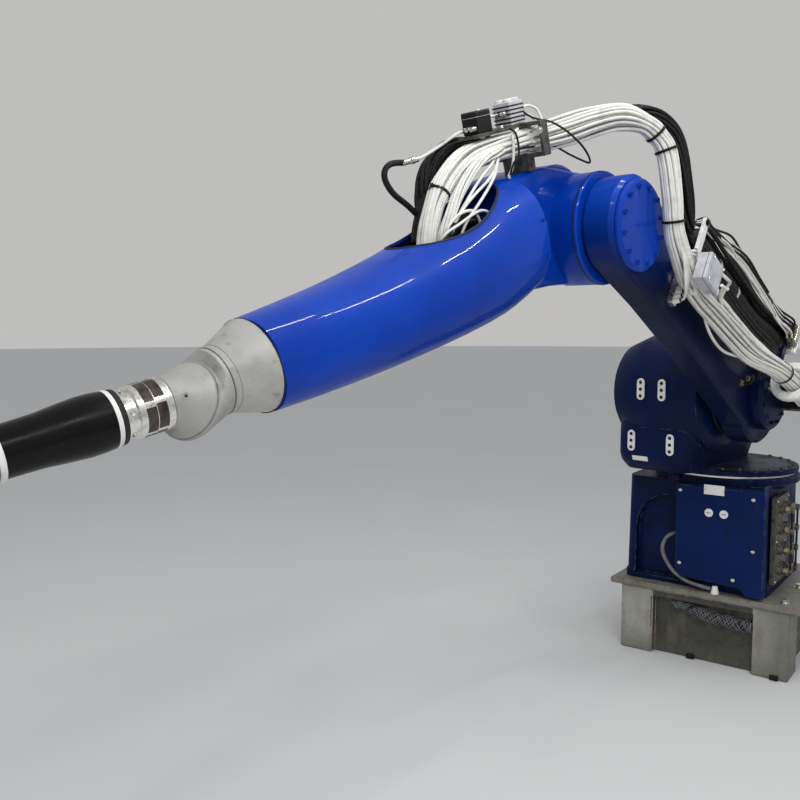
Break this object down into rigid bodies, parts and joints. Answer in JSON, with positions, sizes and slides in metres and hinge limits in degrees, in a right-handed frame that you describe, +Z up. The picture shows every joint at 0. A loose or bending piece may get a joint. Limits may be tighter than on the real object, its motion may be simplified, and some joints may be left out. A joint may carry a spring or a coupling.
{
  "type": "industrial robot arm",
  "caption": "Blue floor-mounted painting robot on a welded white riser, reaching forward with a hose-dressed arm, a hollow oblique wrist and a rotary paint atomiser.",
  "frame": {"origin": "on the floor under the turning axis of the turret, in the flat underside of the riser", "axes": "+Z up, +X out of the riser's front face, +Y to the side that carries the connector stubs"},
  "size_m": [3.6127, 0.8933, 2.0925],
  "materials": {
    "riser_paint": "off-white paint with dirt and rust stains",
    "blue_paint": "gloss blue two-pack paint",
    "dark_blue_paint": "blue paint, in the shade of the cover",
    "bare_casting": "fine cast and turned aluminium",
    "steel": "machined and plated steel",
    "white_plastic": "moulded off-white",
    "black_plastic": "smooth black",
    "grey_paint": "light grey paint",
    "white_hose": "bundled translucent white tubes",
    "black_hose": "black sheathed hose"
  },
  "bodies": {
    "base": {"riser_frame": "riser_paint", "riser_top_plate": "riser_paint", "riser_sleeve": "black_hose", "base_casting": "blue_paint", "connector_box": "blue_paint", "box_plug_1": "white_plastic", "box_plug_2": "white_plastic", "hose_fitting": "white_plastic", "side_connector_panel": "steel", "base_hose_loop": "white_hose"},
    "turret": {"turret_body": "blue_paint", "access_plate_a": "white_plastic", "access_plate_b": "white_plastic", "access_plate_c": "white_plastic", "access_plate_d": "white_plastic"},
    "lower_arm": {"lower_arm_casting": "blue_paint", "elbow_cap": "blue_paint", "shoulder_cap": "blue_paint", "valve_box": "grey_paint", "hose_manifold_bar": "steel", "sheath_post": "white_plastic", "hose_guide_ring": "white_plastic", "hose_end_block": "black_plastic", "lower_hose_bundle": "white_hose", "lower_black_sheath": "black_hose", "elbow_loop_white": "white_hose", "elbow_loop_black": "black_hose"},
    "upper_arm": {"upper_arm_cover": "blue_paint", "upper_arm_rear": "blue_paint", "forearm_tube": "dark_blue_paint", "wrist_cone": "bare_casting", "hose_bracket": "steel", "valve_block_black": "black_plastic", "valve_block_silver": "steel", "upper_hose_bundle": "white_hose", "upper_black_hose": "black_hose"},
    "wrist_roll": {"wrist_roll_body": "bare_casting"},
    "wrist_bend": {"wrist_bend_body": "bare_casting"},
    "tool": {"tool_flange_ring": "steel", "tool_collar": "black_plastic", "tool_band_rear": "white_plastic", "tool_body": "black_plastic", "tool_band_front": "white_plastic", "tool_nose": "black_plastic", "bell_cup": "steel"}
  },
  "joints": [
    {"name": "s_turn", "type": "hinge", "parent": "base", "child": "turret", "pos_m": [0, 0, 1.113], "axis": [0, 0, 1], "range_deg": [-143, 157]},
    {"name": "l_lean", "type": "hinge", "parent": "turret", "child": "lower_arm", "pos_m": [0.26099, -0.03242, 1.113], "axis": [-0.1233, -0.9924, 0], "range_deg": [-35, 126]},
    {"name": "u_swing", "type": "hinge", "parent": "lower_arm", "child": "upper_arm", "pos_m": [1.2523, -0.15554, 1.68278], "axis": [0.1233, 0.9924, 0], "range_deg": [-45, 88], "deforming": ["elbow_loop_white", "elbow_loop_black"]},
    {"name": "r_roll", "type": "hinge", "parent": "upper_arm", "child": "wrist_roll", "pos_m": [2.64962, -0.32909, 1.25364], "axis": [0.9493, -0.1179, -0.2915], "continuous": true},
    {"name": "b_roll", "type": "hinge", "parent": "wrist_roll", "child": "wrist_bend", "pos_m": [2.65098, -0.32926, 1.23754], "axis": [0.9567, 0.1702, 0.2363], "continuous": true},
    {"name": "t_roll", "type": "hinge", "parent": "wrist_bend", "child": "tool", "pos_m": [2.64789, -0.32887, 1.2479], "axis": [0.9499, -0.2245, -0.2174], "continuous": true}
  ]
}
